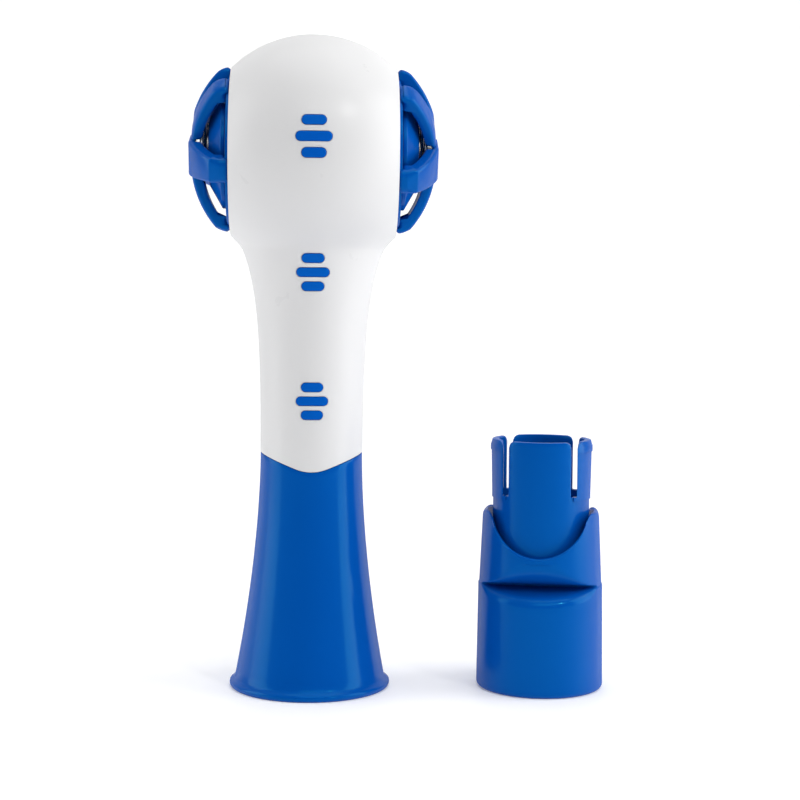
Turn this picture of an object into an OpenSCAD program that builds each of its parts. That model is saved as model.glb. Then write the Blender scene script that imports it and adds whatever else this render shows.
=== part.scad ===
// Hand-held breathing trainer with two sprung side valves and a loose mouthpiece.
// The trainer stands on its bell, +Z up, front towards -Y, origin under its axis.

/* [Bell] */
// Height of the bell at its sides, where it meets the neck
bell_h = 53.8; // [45:0.1:70]
// Outer radius of the bell's wall at the table
bell_foot_r = 17.6; // [15:0.1:24]
// How fast the bell flares towards its foot
bell_flare = 1.78; // [1.3:0.01:2.6]
// Wall of the bell
bell_wall = 1.4; // [1:0.1:1.6]
// Radius of the rolled rim's section
rim_bead_r = 0.97; // [0.7:0.01:1.3]
// Radius of the circle that the rim's section follows
rim_ring_r = 17.4; // [15:0.1:24]
// Depth of the dip in the joint between neck and bell
joint_dip = 3.6; // [2:0.1:6]
// Radius at the bottom of that dip
joint_dip_r = 10.2; // [8:0.1:14]
// Slope of the dip's flanks, in degrees
joint_slope = 20; // [12:1:26]

/* [Neck and head] */
// Outer radius of the neck at its lower end
neck_r = 11.65; // [10:0.05:14]
// How much wider the neck is where it meets the ball
neck_flare = 3.75; // [2:0.05:6]
// Length over which that flare fades away
neck_fade = 11.2; // [8:0.1:16]
// Wall of the shells
shell_wall = 2; // [1.6:0.1:2.6]
// Radius of the ball
ball_r = 26.9; // [24:0.1:32]
// Height of the ball's centre, where the valve axis lies
ball_z = 122.3; // [110:0.1:150]
// Distance from the trainer's axis to each flat side
flat_x = 19.5; // [18:0.1:22]
// Radius of the round boss that stands on each side
boss_r = 16.8; // [16:0.1:18]
// Height of that boss above the ball's shoulder
boss_h = 0.7; // [0.5:0.05:1.2]

/* [Pads] */
// Length of a long pad on the ball, on the flare and on the neck
pad_long = [7.9, 7.35, 7.15];
// Length of a short pad at the same places
pad_short = [5.35, 5.05, 4.9];
// Height of a pad at the same places
pad_tall = [2.15, 2.05, 2.03];
// Distance from pad to pad at the same places
pad_pitch = [3.53, 3.12, 3.12];
// Height of each group's middle above the table
pad_z = [124.1, 95, 66.2];
// How far a pad stands out of the shell
pad_proud = 0.3; // [0.1:0.05:0.6]
// How deep a pad sits in the shell
pad_deep = 0.9; // [0.5:0.05:1.2]

/* [Valves] */
// Radius of a valve disc
disc_r = 12.95; // [12:0.05:13.3]
// Thickness of the disc's rim
disc_rim_t = 0.85; // [0.6:0.05:1]
// Height of the disc's cone above its rim
disc_cone_h = 2.9; // [2:0.1:3.2]
// Radius of the boss in the disc's middle
disc_boss_r = 5.4; // [5:0.05:5.45]
// How far the disc lifts off its seat
valve_lift = 0.9; // [0.5:0.1:0.9]
// Radius of the port through the valve seat
port_r = 9.6; // [8:0.1:10]
// Outer radius of the valve seat
seat_r = 12.35; // [12:0.05:12.6]
// Radius of the guide pin
pin_r = 1.5; // [1.2:0.05:1.8]
// Thickness of the spring wire
wire_d = 0.65; // [0.5:0.01:0.8]
// Radius of the spring, to the middle of its wire
spring_r = 6.4; // [6.3:0.01:6.5]
// Turns of the spring
spring_turns = 2.75; // [2:0.25:3]
// How far the spring cup is pushed in by the dial
cup_travel = 0.7; // [0.3:0.1:0.7]

/* [Cages] */
// Number of arms on a cage
arm_count = 5; // [5]
// Outer face of a cage's hub, from the trainer's axis
hub_face_x = 27.65; // [27.5:0.05:27.9]
// Thickness of the hub's plate
hub_t = 0.95; // [0.8:0.05:1]
// Radius of the hub between its arms
hub_r = 6.8; // [5.5:0.1:7.2]
// How much larger the arch that the arms follow is than the boss they hook on
arch_over = 6.5; // [6.2:0.1:7.2]
// Crown of that arch, from the trainer's axis
arch_top_x = 28; // [27.8:0.1:28.4]
// Thickness of an arm
arm_t = 2.3; // [2:0.1:2.3]
// Half the width of an arm at the hub
arm_root_w = 4.1; // [3.6:0.1:4.2]
// Half the width of an arm at its foot
arm_foot_w = 2.6; // [2:0.1:3]
// How much thicker the pointer arm is
pointer_rise = 0.55; // [0.2:0.05:0.6]
// Half the width of the index arm at the hub
index_root_w = 2.4; // [2:0.1:3]
// Half the width of the index arm at its foot
index_foot_w = 1.9; // [1.5:0.1:2.5]
// How much further out the index arm arches
index_rise = 0.4; // [0.2:0.05:1]
// How far the index arm's foot stands out of the boss
index_foot_out = 2.4; // [1.8:0.1:2.4]
// How far the other feet stand out of the boss
foot_out = 1.4; // [1.1:0.1:1.8]
// How far the left dial is turned
left_dial_set = 0; // [-5:1:30]
// How far the right dial is turned
right_dial_set = 7; // [-5:1:30]

/* [Mouthpiece] */
// Distance from the trainer's axis to the loose mouthpiece
mouth_x = 53.1; // [48:0.1:80]
// How far forward the loose mouthpiece stands
mouth_forward = 1.3; // [0:0.1:10]
// How far the loose mouthpiece is turned where it stands
mouth_turn = -10; // [-45:1:45]
// Outer radius of the mouth cup at the table
cup_foot_r = 14.56; // [13.5:0.01:16]
// Outer radius of the mouth cup at its shelf
cup_top_r = 14.3; // [13.3:0.01:15.5]
// Height of the shelf where it meets the collar
shelf_z = 24; // [20:0.1:30]
// Fall of the shelf towards the front, in degrees
shelf_fall = 12; // [5:1:16]
// Distance from the axis to the straight back of the shelf
shelf_back = 5.5; // [5.3:0.1:6.5]
// Outer radius of the collar at its foot
collar_foot_r = 14.1; // [13:0.05:14.2]
// Outer radius of the collar at the horns
collar_top_r = 13.4; // [12.9:0.05:13.5]
// Inner radius of the collar
collar_bore_r = 12.1; // [11.9:0.05:12.3]
// Height of the horns' tops
horn_z = 40.8; // [38:0.1:46]
// Radius of the scoop between the horns
scoop_r = 10.95; // [9:0.05:11.2]
// Height of the bottom of the scoop
scoop_z = 31.2; // [30:0.1:34]
// Outer radius of the two side tabs, at the foot of the slots
plug_r = 11.33; // [10.8:0.01:11.35]
// How much narrower the tube itself is than its side tabs
plug_step = 0.25; // [0.1:0.05:0.4]
// How far a tab leans out at its top
tab_lean = 0.2; // [0:0.05:0.25]
// Wall of the snap tube
plug_wall = 1.5; // [1.2:0.1:1.8]
// Height of the snap tabs' tops
plug_z = 57.1; // [50:0.1:64]
// Depth of the slots between the tabs
slot_depth = 12.5; // [8:0.1:14]
// Width of those slots, which run straight from front to back
slot_w = 1.35; // [1:0.05:2]
// Distance from the tube's axis to the middle of a slot
slot_mid = 7.72; // [6:0.01:8.5]
// Height of the barb at a tab's top
barb_h = 2.5; // [1.8:0.1:3]
// How far a barb stands out of its tab
barb_out = 0.2; // [0.1:0.05:0.25]

/* [Hidden] */

shell_white = "white";
body_blue = "royalblue";
silicone_grey = "gainsboro";
steel_grey = "silver";

round_fn = 96;
small_fn = 48;
overrun = 1;
curve_steps = 14;

// Clearances
slip = 0.1;
foot_gap = 0.15;
pin_slip = 0.06;
touch_gap = 0.05;
pad_slip = 0.05;

// Stations of the bell and neck, tied to the bell's height and the ball
flare_share = 0.9034;
socket_share = 0.22305;
socket_len_share = 0.23234;
flare_z = ball_z - flare_share * ball_r;
socket_z = socket_share * bell_h;
socket_len = socket_len_share * bell_h;
spigot_len = 8;
spigot_wall = 1;
tube_wall = 1.2;
tube_gap = 0.35;
tube_top_z = 98.5;
groove_len = 2;
flange_t = 1;
seal_t = 0.6;
neck_bottom = bell_h - joint_dip;

// Stations of a valve, as distances from the trainer's axis
shoulder_x = flat_x - boss_h;
side_wall = 2.5;
wall_in_x = flat_x - side_wall;
bead_h = 0.15;
bead_under = 0.3;
flange_out_r = 14.1;
gasket_t = 0.3;
seat_flange_t = 0.4;
seat_back_x = wall_in_x - gasket_t - seat_flange_t;
lip_r = 10.6;
lip_w = 0.6;
lip_h = 0.15;
spoke_w = 1.6;
spoke_t = 1.6;
spider_r = 3;
spider_len = 2.2;
seal_groove = 0.35;
seal_in_r = 10.2;
seal_out_r = 12.2;
disc_back_x = flat_x + lip_h + touch_gap + 0.15;
disc_rim_x = disc_back_x + disc_rim_t;
disc_top_x = disc_rim_x + disc_cone_h;
disc_land_r = 7.9;
pocket_r = 7.2;
pocket_x = disc_rim_x + 0.9;
boss_top_x = disc_top_x + 0.8;
bush_r = 3;
bush_len = 0.85;
hub_in_x = hub_face_x - hub_t;
cup_t = 0.35;
cup_rim_t = 0.3;
cup_rim_len = 1.05;
cup_out_x = hub_in_x - touch_gap;
cup_seat_x = cup_out_x - cup_t;
cup_rim_r = spring_r + wire_d / 2 + 0.12;
hub_pocket_r = cup_rim_r + cup_rim_t + 0.25;
arch_center_r = 2;
arch_r = boss_r + arch_over;
arch_center_x = arch_top_x - arch_r;
foot_r = boss_r + foot_out;
index_foot_r = boss_r + index_foot_out;
foot_depth = 3.2;
foot_in_r = foot_r - foot_depth;
foot_tip_x = shoulder_x + foot_gap;
hook_r = boss_r + foot_gap;
pointer_face_x = hub_face_x + pointer_rise;
heel_h = 1.7;
heel_w = 0.9;
dimple_r = 0.45;
dimple_out = 3.2;
pin_end_x = hub_in_x - touch_gap;

// Stations of the mouthpiece
cup_edge_r = 1.1;
shelf_edge_r = 1.9;
collar_wall_floor = 3;
web_bore_h = 8;
web_bore_l = 19;
spigot_h = 3;
cup_cavity_r = 11.4;
cup_cavity_h = 14;
corner_r = 0.5;
adapter_seal_t = 0.6;
horn_round = 1.5;
tab_corner = 1.4;
ledge_drop = 0.9;
shelf_round = 60;
barb_r = plug_r + tab_lean + barb_out;

function bell_r(z) = neck_r + (bell_foot_r - neck_r) * pow(1 - z / bell_h, bell_flare);
function neck_at(z) = neck_r + neck_flare * exp((z - flare_z) / neck_fade);
function span(a, b, steps) = [for (i = [0 : steps]) a + (b - a) * i / steps];

// Region above the dipped joint, seen from the front
module above_joint(lift, half_w, height) {
    x0 = joint_dip_r * sin(joint_slope);
    z0 = neck_bottom + joint_dip_r * (1 - cos(joint_slope));
    translate([0, lift])
        union() {
            intersection() {
                translate([0, neck_bottom + joint_dip_r])
                    circle(joint_dip_r, $fn = round_fn);
                translate([-half_w, 0])
                    square([2 * half_w, neck_bottom + joint_dip_r]);
            }
            polygon([[-x0, z0], [x0, z0],
                     [half_w, z0 + (half_w - x0) * tan(joint_slope)],
                     [half_w, height], [-half_w, height],
                     [-half_w, z0 + (half_w - x0) * tan(joint_slope)]]);
        }
}

module above_joint_block(lift) {
    reach = 2 * ball_r;
    translate([0, reach, 0])
        rotate([90, 0, 0])
            linear_extrude(2 * reach)
                above_joint(lift, 2 * ball_r, ball_z + 2 * ball_r);
}

// Revolved solid of the neck, grown by a step in or out
module neck_solid(step, low, high) {
    rotate_extrude($fn = round_fn)
        polygon(concat([[0, low]],
                       [for (z = span(low, high, curve_steps)) [neck_at(z) + step, z]],
                       [[0, high]]));
}

module ball_solid(step) {
    translate([0, 0, ball_z])
        sphere(ball_r + step, $fn = round_fn);
}

module along_valve() {
    translate([0, 0, ball_z])
        rotate([0, 90, 0])
            children();
}

module both_sides() {
    children();
    mirror([1, 0, 0])
        children();
}

// Outer form of the white body, from the joint up
module body_outer() {
    difference() {
        union() {
            neck_solid(0, neck_bottom, flare_z + 2 * shell_wall);
            ball_solid(0);
        }
        both_sides()
            along_valve()
                translate([0, 0, shoulder_x])
                    cylinder(h = ball_r, r = 2 * ball_r, $fn = small_fn);
    }
    both_sides()
        along_valve()
            rotate_extrude($fn = round_fn)
                polygon([[0, shoulder_x - overrun], [boss_r - bead_under, shoulder_x - overrun],
                         [boss_r - bead_under, flat_x - bead_h], [boss_r, flat_x - bead_h],
                         [boss_r, flat_x], [0, flat_x]]);
}

module body_inner() {
    neck_solid(-shell_wall, neck_bottom - overrun, flare_z + 2 * shell_wall);
    intersection() {
        ball_solid(-shell_wall);
        translate([-wall_in_x, -ball_r, ball_z - ball_r])
            cube([2 * wall_in_x, 2 * ball_r, 2 * ball_r]);
    }
}

module pad_prism(group, grow) {
    sizes = [pad_short[group], pad_long[group], pad_short[group]];
    tall = pad_tall[group] + 2 * grow;
    for (i = [0 : 2]) {
        wide = sizes[i] + 2 * grow - tall;
        translate([0, 0, pad_z[group] + (1 - i) * pad_pitch[group]])
            rotate([90, 0, 0])
                linear_extrude(2 * ball_r) {
                    square([wide, tall], center = true);
                    for (side = [-1, 1])
                        translate([side * wide / 2, 0])
                            circle(tall / 2, $fn = small_fn);
                }
    }
}

module pad_skin(group, step) {
    if (group == 0)
        ball_solid(step);
    else
        neck_solid(step, pad_z[group] - 2 * pad_pitch[group], pad_z[group] + 2 * pad_pitch[group]);
}

module pads(group) {
    color(body_blue)
        intersection() {
            pad_prism(group, 0);
            difference() {
                pad_skin(group, pad_proud);
                pad_skin(group, -pad_deep);
            }
        }
}

module pad_pockets() {
    for (group = [0 : 2])
        difference() {
            pad_prism(group, pad_slip);
            pad_skin(group, -pad_deep);
        }
}

// Short sleeve below the neck that slips into the bell
module neck_spigot() {
    out_r = neck_r - bell_wall - slip;
    rotate_extrude($fn = round_fn)
        polygon([[out_r - spigot_wall, neck_bottom - spigot_len], [out_r, neck_bottom - spigot_len],
                 [out_r, neck_bottom + joint_dip + overrun],
                 [out_r - spigot_wall, neck_bottom + joint_dip + overrun]]);
}

module white_body() {
    difference() {
        intersection() {
            body_outer();
            above_joint_block(0);
        }
        body_inner();
        both_sides()
            along_valve()
                cylinder(h = flat_x + overrun, r = seat_r + touch_gap, $fn = round_fn);
    }
    neck_spigot();
}

module front_half() {
    translate([-2 * ball_r, -2 * ball_r, 0])
        cube([4 * ball_r, 2 * ball_r, ball_z + 2 * ball_r]);
}

module front_shell() {
    color(shell_white)
        difference() {
            intersection() {
                white_body();
                front_half();
            }
            pad_pockets();
        }
}

module rear_shell() {
    color(shell_white)
        difference() {
            white_body();
            front_half();
        }
}

module base_bell() {
    color(body_blue)
        difference() {
            union() {
                rotate_extrude($fn = round_fn)
                    polygon(concat(
                        [for (z = span(rim_bead_r, bell_h, curve_steps)) [bell_r(z), z]],
                        [for (z = span(bell_h, rim_bead_r, curve_steps)) [bell_r(z) - bell_wall, z]]));
                rotate_extrude($fn = round_fn)
                    intersection() {
                        translate([rim_ring_r, rim_bead_r - 0.07])
                            circle(rim_bead_r, $fn = small_fn);
                        square([2 * rim_ring_r, 2 * rim_bead_r]);
                    }
            }
            above_joint_block(-touch_gap);
        }
}

module upper_grip_pads() pads(0);

module middle_grip_pads() pads(1);

module lower_grip_pads() pads(2);

// Tube that carries the air from the socket to the head
module airway_tube() {
    out_r = neck_r - bell_wall - slip - spigot_wall - tube_gap;
    flange_z = socket_z + socket_len;
    color(body_blue)
        rotate_extrude($fn = round_fn)
            polygon([[out_r - tube_wall, flange_z],
                     [bell_r(flange_z + flange_t) - bell_wall - slip, flange_z],
                     [bell_r(flange_z + flange_t) - bell_wall - slip, flange_z + flange_t],
                     [out_r, flange_z + flange_t], [out_r, tube_top_z],
                     [out_r - tube_wall, tube_top_z]]);
}

// Ring in the bell that the mouthpiece's tabs snap into
module mouth_socket() {
    top = socket_z + socket_len;
    groove_top = top - seal_t;
    color(body_blue)
        rotate_extrude($fn = round_fn)
            polygon([[plug_r + foot_gap, socket_z],
                     [bell_r(socket_z) - bell_wall - slip, socket_z],
                     [bell_r(top) - bell_wall - slip, top],
                     [barb_r + foot_gap, top],
                     [barb_r + foot_gap, groove_top - groove_len],
                     [plug_r + foot_gap, groove_top - groove_len - foot_gap]]);
}

module socket_seal() {
    top = socket_z + socket_len;
    color(silicone_grey)
        translate([0, 0, top - seal_t])
            difference() {
                cylinder(h = seal_t, r = barb_r + foot_gap - touch_gap, $fn = round_fn);
                translate([0, 0, -overrun])
                    cylinder(h = seal_t + 2 * overrun, r = plug_r - plug_wall, $fn = round_fn);
            }
}

module left_side() {
    mirror([1, 0, 0])
        along_valve()
            children();
}

// Seat ring with its spider, pushed out against the wall of the head
module valve_seat() {
    difference() {
        rotate_extrude($fn = round_fn)
            polygon([[port_r, seat_back_x], [flange_out_r, seat_back_x],
                     [flange_out_r, seat_back_x + seat_flange_t],
                     [seat_r, seat_back_x + seat_flange_t], [seat_r, flat_x],
                     [lip_r + lip_w, flat_x], [lip_r + lip_w, flat_x + lip_h],
                     [lip_r, flat_x + lip_h], [lip_r, flat_x], [port_r, flat_x]]);
    }
    difference() {
        union() {
            for (i = [0 : 2])
                rotate([0, 0, 120 * i])
                    translate([0, -spoke_w / 2, seat_back_x])
                        cube([port_r + touch_gap, spoke_w, spoke_t]);
            translate([0, 0, seat_back_x])
                cylinder(h = spider_len, r = spider_r, $fn = small_fn);
        }
        translate([0, 0, seat_back_x - overrun])
            cylinder(h = spider_len + 2 * overrun, r = pin_r, $fn = small_fn);
    }
}

module seat_gasket() {
    translate([0, 0, wall_in_x - gasket_t])
        difference() {
            cylinder(h = gasket_t, r = flange_out_r, $fn = round_fn);
            translate([0, 0, -overrun])
                cylinder(h = gasket_t + 2 * overrun, r = seat_r + touch_gap, $fn = round_fn);
        }
}

// Conical disc with a pocket for the spring and a bush for the pin
module valve_disc() {
    bore = pin_r + pin_slip;
    edge = disc_rim_t / 4;
    rotate_extrude($fn = round_fn)
        polygon([[bore, disc_back_x - bush_len], [bush_r, disc_back_x - bush_len],
                 [bush_r, disc_rim_x - edge], [port_r - bush_r / 10, disc_rim_x - edge],
                 [port_r, disc_back_x], [seal_in_r, disc_back_x],
                 [seal_in_r, disc_back_x + seal_groove], [seal_out_r, disc_back_x + seal_groove],
                 [seal_out_r, disc_back_x], [disc_r, disc_back_x],
                 [disc_r, disc_rim_x - edge], [disc_r - edge, disc_rim_x],
                 [disc_land_r, disc_top_x], [pocket_r, disc_top_x],
                 [pocket_r, pocket_x], [disc_boss_r, pocket_x],
                 [disc_boss_r, boss_top_x - edge], [disc_boss_r - edge, boss_top_x],
                 [bore, boss_top_x]]);
}

module disc_seal() {
    seal_x = flat_x + lip_h + touch_gap;
    translate([0, 0, seal_x])
        difference() {
            cylinder(h = disc_back_x + seal_groove - seal_x, r = seal_out_r, $fn = round_fn);
            translate([0, 0, -overrun])
                cylinder(h = disc_rim_t + 2 * overrun, r = seal_in_r, $fn = round_fn);
        }
}

// Helix of the spring, with straight ends one wire thick
spring_low = pocket_x + touch_gap + wire_d / 2;
spring_high = cup_seat_x - touch_gap - wire_d / 2;
spring_pitch = (spring_high - spring_low) / spring_turns;
rings_per_turn = 8;
wire_sides = 6;
ring_count = round(rings_per_turn * spring_turns);

function helix_point(i) =
    let (a = 360 * i / rings_per_turn)
    [spring_r * cos(a), spring_r * sin(a), spring_low + spring_pitch * i / rings_per_turn];
function helix_way(i) =
    let (a = 360 * i / rings_per_turn)
    [-sin(a), cos(a), 0];
spring_path = concat([helix_point(0) - wire_d * helix_way(0)],
                     [for (i = [0 : ring_count]) helix_point(i)],
                     [helix_point(ring_count) + wire_d * helix_way(ring_count)]);
path_turn = concat([0], [for (i = [0 : ring_count]) i], [ring_count]);

function wire_ring(k) =
    let (a = 360 * path_turn[k] / rings_per_turn, c = spring_path[k])
    [for (j = [0 : wire_sides - 1])
        let (b = 360 * j / wire_sides)
        c + wire_d / 2 * (cos(b) * [cos(a), sin(a), 0] + sin(b) * [0, 0, 1])];

// Least gap between neighbouring turns, measured on the wire's points
turn_gaps = [for (i = [0 : ring_count - rings_per_turn])
             norm(helix_point(i + rings_per_turn) - helix_point(i)) - wire_d];
echo(least_spring_gap = min(turn_gaps));

module spring() {
    rings = len(spring_path);
    points = [for (k = [0 : rings - 1]) each wire_ring(k)];
    sides = [for (k = [0 : rings - 2]) for (j = [0 : wire_sides - 1])
             let (a = k * wire_sides + j, b = k * wire_sides + (j + 1) % wire_sides)
             each [[a, a + wire_sides, b], [b, a + wire_sides, b + wire_sides]]];
    last = (rings - 1) * wire_sides;
    caps = concat([for (j = [1 : wire_sides - 2]) [0, j, j + 1]],
                  [for (j = [1 : wire_sides - 2]) [last, last + j + 1, last + j]]);
    polyhedron(points, concat(sides, caps));
}

module guide_pin() {
    translate([0, 0, seat_back_x])
        cylinder(h = pin_end_x - seat_back_x, r = pin_r - touch_gap / 5, $fn = small_fn);
}

module spring_cup() {
    rotate_extrude($fn = round_fn)
        polygon([[pin_r + pin_slip, cup_seat_x], [cup_rim_r, cup_seat_x],
                 [cup_rim_r, cup_out_x - cup_rim_len], [cup_rim_r + cup_rim_t, cup_out_x - cup_rim_len],
                 [cup_rim_r + cup_rim_t, cup_out_x], [pin_r + pin_slip, cup_out_x]]);
}

// Height of the arch above the trainer's axis at a radius from the valve axis
function arch_x(r, rise) =
    arch_center_x + sqrt(pow(arch_r + rise, 2) - pow(r - arch_center_r, 2));

// Dome with hooked edge, which the arms are cut from
module cage_dome(rise, face_x, edge_r) {
    top_r = arch_center_r + sqrt(pow(arch_r + rise, 2) - pow(face_x - arch_center_x, 2));
    rotate_extrude($fn = round_fn)
        polygon(concat(
            [[0, hub_in_x], [hub_pocket_r, hub_in_x]],
            [for (r = span(hub_pocket_r, foot_in_r, curve_steps / 2)) [r, arch_x(r, -arm_t)]],
            [[foot_in_r, flat_x + foot_gap], [hook_r, flat_x + foot_gap],
             [hook_r, flat_x - bead_h - foot_gap],
             [hook_r - bead_under, flat_x - bead_h - foot_gap],
             [hook_r - bead_under, foot_tip_x], [edge_r, foot_tip_x], [edge_r, foot_tip_x + heel_h]],
            [for (r = span(edge_r - heel_w, top_r, curve_steps / 2)) [r, arch_x(r, rise)]],
            [[0, face_x]]));
}

// Tapered plan of an arm, from the valve's axis outwards
module arm_plan(root_w, foot_w, reach) {
    polygon([[0, -root_w], [hub_r, -root_w], [reach, -foot_w],
             [reach, foot_w], [hub_r, root_w], [0, root_w]]);
}

module from_shoulder() {
    translate([0, 0, shoulder_x])
        linear_extrude(ball_r)
            children();
}

module cage() {
    arm_step = 360 / arm_count;
    difference() {
        union() {
            intersection() {
                cage_dome(0, hub_face_x, foot_r);
                from_shoulder() {
                    circle(hub_r, $fn = small_fn);
                    for (i = [0 : arm_count - 1])
                        rotate(arm_step * i)
                            arm_plan(arm_root_w, arm_foot_w, foot_r + overrun);
                }
            }
            // Pointer arm, next to the lowest arm at the front
            intersection() {
                cage_dome(pointer_rise, pointer_face_x, foot_r);
                from_shoulder()
                    rotate(-arm_step)
                        arm_plan(arm_root_w, arm_foot_w, foot_r + overrun);
            }
            // Index arm, opposite to the lowest arm
            intersection() {
                cage_dome(index_rise, hub_face_x, index_foot_r);
                from_shoulder()
                    rotate(180)
                        arm_plan(index_root_w, index_foot_w, index_foot_r + overrun);
            }
        }
        rotate([0, 0, -arm_step])
            translate([dimple_out, 0, pointer_face_x - dimple_r])
                cylinder(h = overrun, r = dimple_r, $fn = small_fn);
    }
}

module left_valve_seat() color(body_blue) left_side() valve_seat();

module right_valve_seat() color(body_blue) along_valve() valve_seat();

module left_seat_gasket() color(silicone_grey) left_side() seat_gasket();

module right_seat_gasket() color(silicone_grey) along_valve() seat_gasket();

module left_valve_disc() color(body_blue) left_side() valve_disc();

module right_valve_disc() color(body_blue) along_valve() valve_disc();

module left_disc_seal() color(silicone_grey) left_side() disc_seal();

module right_disc_seal() color(silicone_grey) along_valve() disc_seal();

module left_spring() color(steel_grey) left_side() spring();

module right_spring() color(steel_grey) along_valve() spring();

module left_guide_pin() color(steel_grey) left_side() guide_pin();

module right_guide_pin() color(steel_grey) along_valve() guide_pin();

module left_spring_cup() color(steel_grey) left_side() spring_cup();

module right_spring_cup() color(steel_grey) along_valve() spring_cup();

module left_cage() color(body_blue) left_side() rotate([0, 0, left_dial_set]) cage();

module right_cage() color(body_blue) along_valve() rotate([0, 0, right_dial_set]) cage();

module at_mouthpiece() {
    translate([mouth_x, -mouth_forward, 0])
        rotate([0, 0, mouth_turn])
            children();
}

// Flat oval of the passage through the shelf's web
module web_oval(grow) {
    straight = web_bore_l - web_bore_h;
    square([straight, web_bore_h + 2 * grow], center = true);
    for (side = [-1, 1])
        translate([side * straight / 2, 0])
            circle(web_bore_h / 2 + grow, $fn = small_fn);
}

// Side view of what is cut away under the collar's front, above the shelf
module under_collar_cut() {
    reach = collar_foot_r + overrun;
    rise = scoop_z - shelf_z;
    step_up = corner_r;
    polygon(concat(
        [[shelf_back, shelf_z - overrun], [reach, shelf_z - overrun], [reach, scoop_z]],
        [for (a = span(90, 0, curve_steps / 2))
            [shelf_back + (collar_foot_r - shelf_back) * sin(a),
             shelf_z + step_up + (rise - step_up) * (1 - cos(a))]],
        [[shelf_back, shelf_z + step_up]]));
}

module front_and_back() {
    for (turn = [0, 180])
        rotate([0, 0, turn])
            children();
}

// Outer form of the side tabs: a ledge at the foot, a lean outwards and a barb at the top
module side_tab_form() {
    foot = plug_z - slot_depth - ledge_drop;
    reach = plug_r + tab_lean + overrun;
    intersection() {
        rotate_extrude($fn = round_fn)
            polygon([[0, foot], [plug_r, foot], [plug_r, plug_z - slot_depth],
                     [plug_r + tab_lean, plug_z - barb_h], [barb_r, plug_z - barb_h],
                     [barb_r, plug_z - barb_h / 2], [barb_r - plug_wall / 3, plug_z], [0, plug_z]]);
        for (side = [-1, 1])
            translate([side * (slot_mid + reach) / 2, 0, (foot + plug_z) / 2])
                cube([reach - slot_mid + slot_w, 2 * reach, plug_z - foot + overrun], center = true);
    }
}

// What is cut off the upper corners of a tab, seen from its outer face
module tab_corners(half_w) {
    for (side = [-1, 1])
        translate([side * (half_w - tab_corner), plug_z - tab_corner])
            difference() {
                translate([side > 0 ? 0 : -tab_corner - slot_w / 2, 0])
                    square([tab_corner + slot_w / 2, tab_corner + overrun]);
                circle(tab_corner, $fn = small_fn);
            }
}

// Slotted tube with its snap tabs, collar and horns, in one moulding
module adapter_body() {
    bore = plug_r - plug_wall;
    floor_z = shelf_z + collar_wall_floor + (scoop_z - shelf_z) / 2;
    front_half_w = slot_mid - slot_w / 2;
    side_half_w = sqrt(pow(plug_r + tab_lean, 2) - pow(slot_mid + slot_w / 2, 2));
    difference() {
        union() {
            rotate_extrude($fn = round_fn)
                polygon([[0, shelf_z], [collar_foot_r, shelf_z], [collar_top_r, horn_z - horn_round],
                         [collar_top_r - horn_round / 5, horn_z - horn_round / 4],
                         [collar_top_r - horn_round / 2, horn_z], [0, horn_z]]);
            translate([0, 0, floor_z])
                cylinder(h = plug_z - floor_z, r = plug_r - plug_step, $fn = round_fn);
            side_tab_form();
        }
        // Ring gap between collar and tube
        translate([0, 0, floor_z])
            difference() {
                cylinder(h = horn_z - floor_z + overrun, r = collar_bore_r, $fn = round_fn);
                translate([0, 0, -overrun])
                    cylinder(h = horn_z, r = plug_r - plug_step, $fn = round_fn);
            }
        // Airway, round above and a flat oval through the web
        translate([0, 0, scoop_z])
            cylinder(h = plug_z, r = bore, $fn = round_fn);
        translate([0, 0, -overrun])
            linear_extrude(plug_z)
                web_oval(0);
        // Everything below the shelf, before the spigot is added
        translate([0, 0, -overrun])
            cylinder(h = shelf_z + overrun, r = 2 * collar_foot_r, $fn = small_fn);
        // Scoop between the horns, front and back
        difference() {
            translate([0, 2 * collar_foot_r, scoop_z + scoop_r])
                rotate([90, 0, 0])
                    cylinder(h = 4 * collar_foot_r, r = scoop_r, $fn = round_fn);
            cylinder(h = 2 * plug_z, r = (barb_r + collar_bore_r) / 2, $fn = round_fn);
        }
        front_and_back()
            rotate([90, 0, -90])
                translate([0, 0, -collar_foot_r - overrun])
                    linear_extrude(2 * collar_foot_r + 2 * overrun)
                        under_collar_cut();
        // Slots between the tabs, and the tabs' rounded corners
        for (side = [-1, 1])
            translate([side * slot_mid - slot_w / 2, -2 * plug_r, plug_z - slot_depth])
                cube([slot_w, 4 * plug_r, 2 * slot_depth]);
        rotate([90, 0, 0])
            translate([0, 0, -2 * plug_r])
                linear_extrude(4 * plug_r)
                    tab_corners(front_half_w);
        rotate([90, 0, 90])
            for (side = [-1, 1])
                translate([0, 0, side > 0 ? slot_mid : -slot_mid - 2 * plug_r])
                    linear_extrude(2 * plug_r)
                        tab_corners(side_half_w);
    }
}

module snap_adapter() {
    color(body_blue)
        at_mouthpiece() {
            adapter_body();
            translate([0, 0, shelf_z - spigot_h])
                linear_extrude(spigot_h + touch_gap)
                    difference() {
                        web_oval(spigot_wall);
                        web_oval(0);
                    }
        }
}

// Solid of the mouth cup's upper end, falling towards front and back
module shelf_roof() {
    reach = 2 * cup_foot_r;
    drop = tan(shelf_fall);
    front_and_back()
        rotate([90, 0, -90])
            translate([0, 0, -reach])
                linear_extrude(2 * reach)
                    polygon([[shelf_back, shelf_z], [reach, shelf_z - (reach - shelf_back) * drop],
                             [reach, shelf_z + reach], [shelf_back, shelf_z + reach]]);
}

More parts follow.
